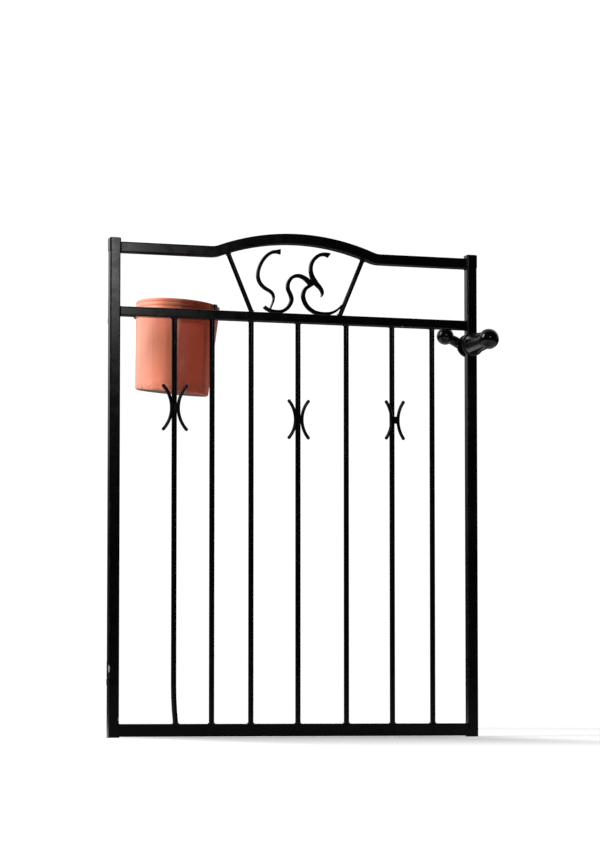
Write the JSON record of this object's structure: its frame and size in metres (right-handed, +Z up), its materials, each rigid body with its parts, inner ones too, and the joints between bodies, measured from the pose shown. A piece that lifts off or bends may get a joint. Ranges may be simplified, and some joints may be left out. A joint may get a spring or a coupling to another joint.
{
  "type": "garden gate",
  "caption": "Black steel garden gate with an arched top rail, scroll panel, bow ornaments, ball knob latch, lift-off hinges and a terracotta pot held in a ring.",
  "frame": {"origin": "centre of the lower hinge plate's two bolt holes, on the plate's back face that lies on the post", "axes": "+Z up along the hinge pins, +Y from the front of the gate back towards the post, +X from the hinge side to the latch side"},
  "size_m": [0.9446, 0.3745, 1.1995],
  "materials": {
    "gate_black": "satin black powder coat",
    "latch_black": "smooth semi-gloss black enamel",
    "knob_black": "polished black",
    "zinc_steel": "zinc plated",
    "nylon_black": "moulded nylon",
    "terracotta": "satin terracotta-coloured"
  },
  "bodies": {
    "post_side": {"upper_pintle": "gate_black", "lower_pintle": "gate_black", "upper_hinge_plate": "gate_black", "lower_hinge_plate": "gate_black", "hinge_washers": "nylon_black"},
    "leaf": {"left_stile": "gate_black", "right_stile": "gate_black", "bottom_rail": "gate_black", "mid_rail": "gate_black", "top_rail": "gate_black", "left_stile_cap": "gate_black", "right_stile_cap": "gate_black", "foot_plugs": "nylon_black", "picket_1": "gate_black", "picket_2": "gate_black", "picket_3": "gate_black", "picket_4": "gate_black", "picket_5": "gate_black", "picket_6": "gate_black", "picket_7": "gate_black", "left_bow_pair": "gate_black", "middle_bow_pair": "gate_black", "right_bow_pair": "gate_black", "bow_straps": "gate_black", "left_brace": "gate_black", "right_brace": "gate_black", "scroll_upper_left": "gate_black", "scroll_lower_left": "gate_black", "scroll_upper_right": "gate_black", "scroll_lower_right": "gate_black", "upper_hinge_eye": "gate_black", "lower_hinge_eye": "gate_black", "front_rose": "latch_black", "rear_rose": "latch_black", "rose_screws": "zinc_steel", "spindle_bush": "nylon_black", "return_spring": "zinc_steel", "pot_ring": "gate_black", "pot_ring_plate": "gate_black", "ring_screws": "zinc_steel"},
    "latch": {"spindle": "zinc_steel", "front_neck": "latch_black", "front_knob": "knob_black", "latch_arm": "gate_black", "rear_lever": "latch_black", "rear_knob": "knob_black", "grub_screws": "zinc_steel"},
    "pot": {"pot": "terracotta"}
  },
  "joints": [
    {"name": "leaf_swing", "type": "hinge", "parent": "post_side", "child": "leaf", "pos_m": [-0.0095, -0.027, 0.4553], "axis": [0, 0, -1], "range_deg": [0, 95]},
    {"name": "latch_turn", "type": "hinge", "parent": "leaf", "child": "latch", "pos_m": [0.875, -0.063, 0.8203], "axis": [0, -1, 0], "range_deg": [0, 40], "stiffness_Nm_per_rad": 0.6, "springref_deg": -20.05},
    {"name": "pot_lift", "type": "slide", "parent": "leaf", "child": "pot", "axis": [0.0732, 0, 0.9973], "range_m": [0, 0.25]}
  ]
}
